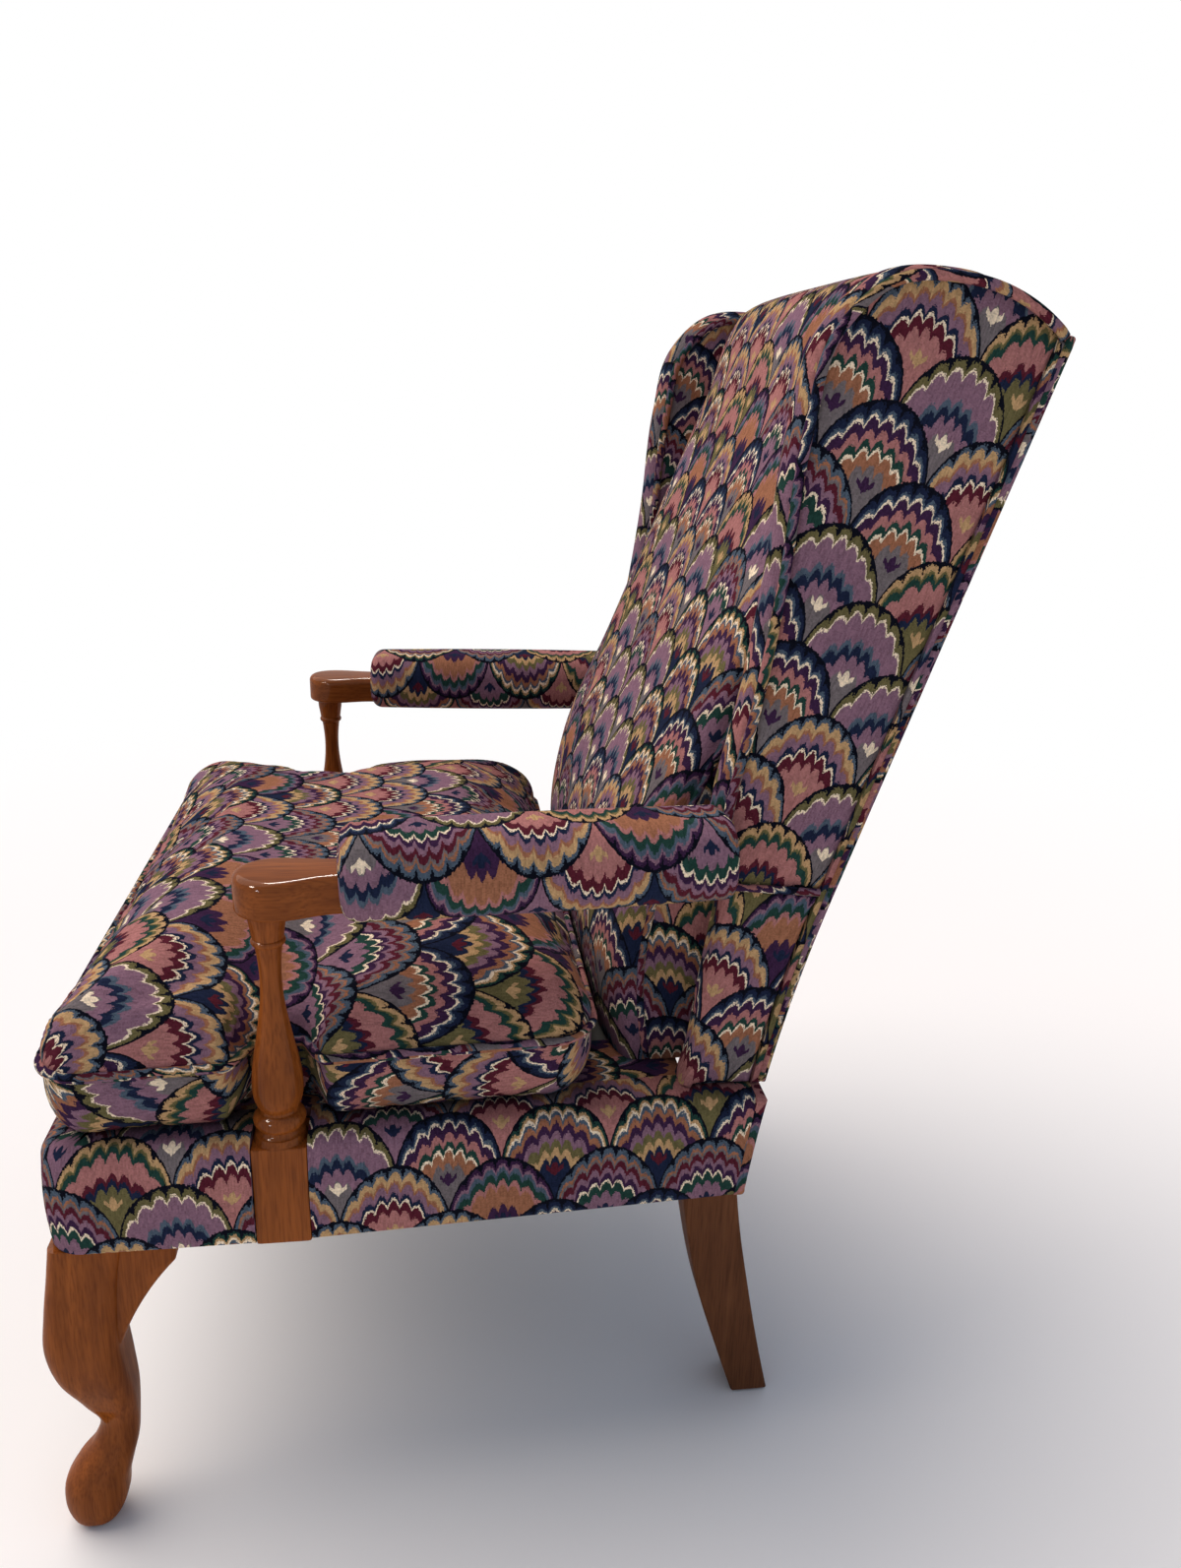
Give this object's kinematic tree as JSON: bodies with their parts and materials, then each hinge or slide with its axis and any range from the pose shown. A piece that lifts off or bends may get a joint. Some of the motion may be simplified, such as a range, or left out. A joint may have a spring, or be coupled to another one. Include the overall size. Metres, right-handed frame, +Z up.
{
  "type": "wingback armchair",
  "caption": "High-backed wing chair with open wood arms on turned posts, cabriole front legs and a loose T-shaped seat cushion.",
  "frame": {"origin": "on the floor, on the middle plane, midway between the toes of the front legs and the rearmost point of the back", "axes": "+X to the sitter's left, +Y to the rear, so the chair faces -Y, +Z up"},
  "size_m": [0.7422, 0.8111, 1.065],
  "materials": {
    "polished_wood": "glossy reddish-brown stain and varnish",
    "dark_wood": "dull dark brown stain",
    "frame_wood": "bare sawn hardwood",
    "steel": "plain wire and bolts",
    "glide_plastic": "nail-on floor glide",
    "cambric": "black cambric and webbing",
    "deck_cloth": "plain deck cloth over felt",
    "flame_stitch_fabric": "woven flame-stitch scales, worn soft"
  },
  "bodies": {
    "frame": {"arm_bolts": "steel", "arm_left": "polished_wood", "arm_pad_left": "flame_stitch_fabric", "arm_pad_right": "flame_stitch_fabric", "arm_post_left": "polished_wood", "arm_post_right": "polished_wood", "arm_right": "polished_wood", "back_cushion": "flame_stitch_fabric", "back_panel": "flame_stitch_fabric", "back_post_left": "frame_wood", "back_post_right": "frame_wood", "back_straps": "cambric", "corner_blocks": "frame_wood", "crest_rail": "frame_wood", "dust_cover": "cambric", "front_leg_left": "polished_wood", "front_leg_right": "polished_wood", "front_rail_cover": "flame_stitch_fabric", "front_seat_rail": "frame_wood", "glides": "glide_plastic", "leg_bolts": "steel", "lower_back_rail": "frame_wood", "post_screws": "steel", "rear_leg_left": "dark_wood", "rear_leg_right": "dark_wood", "rear_rail_cover": "flame_stitch_fabric", "rear_seat_rail": "frame_wood", "seat_deck": "deck_cloth", "seat_webbing": "cambric", "side_panel_left": "flame_stitch_fabric", "side_panel_right": "flame_stitch_fabric", "side_rail_cover_left": "flame_stitch_fabric", "side_rail_cover_right": "flame_stitch_fabric", "side_seat_rail_left": "frame_wood", "side_seat_rail_right": "frame_wood", "wing_frame_left": "frame_wood", "wing_frame_right": "frame_wood", "wing_pad_left": "flame_stitch_fabric", "wing_pad_right": "flame_stitch_fabric", "wing_panel_left": "flame_stitch_fabric", "wing_panel_right": "flame_stitch_fabric"},
    "seat_cushion": {"seat_cushion": "flame_stitch_fabric"}
  },
  "joints": [
    {"name": "cushion_lift", "type": "slide", "parent": "frame", "child": "seat_cushion", "axis": [0, 0, 1], "range_m": [0, 0.06]}
  ]
}
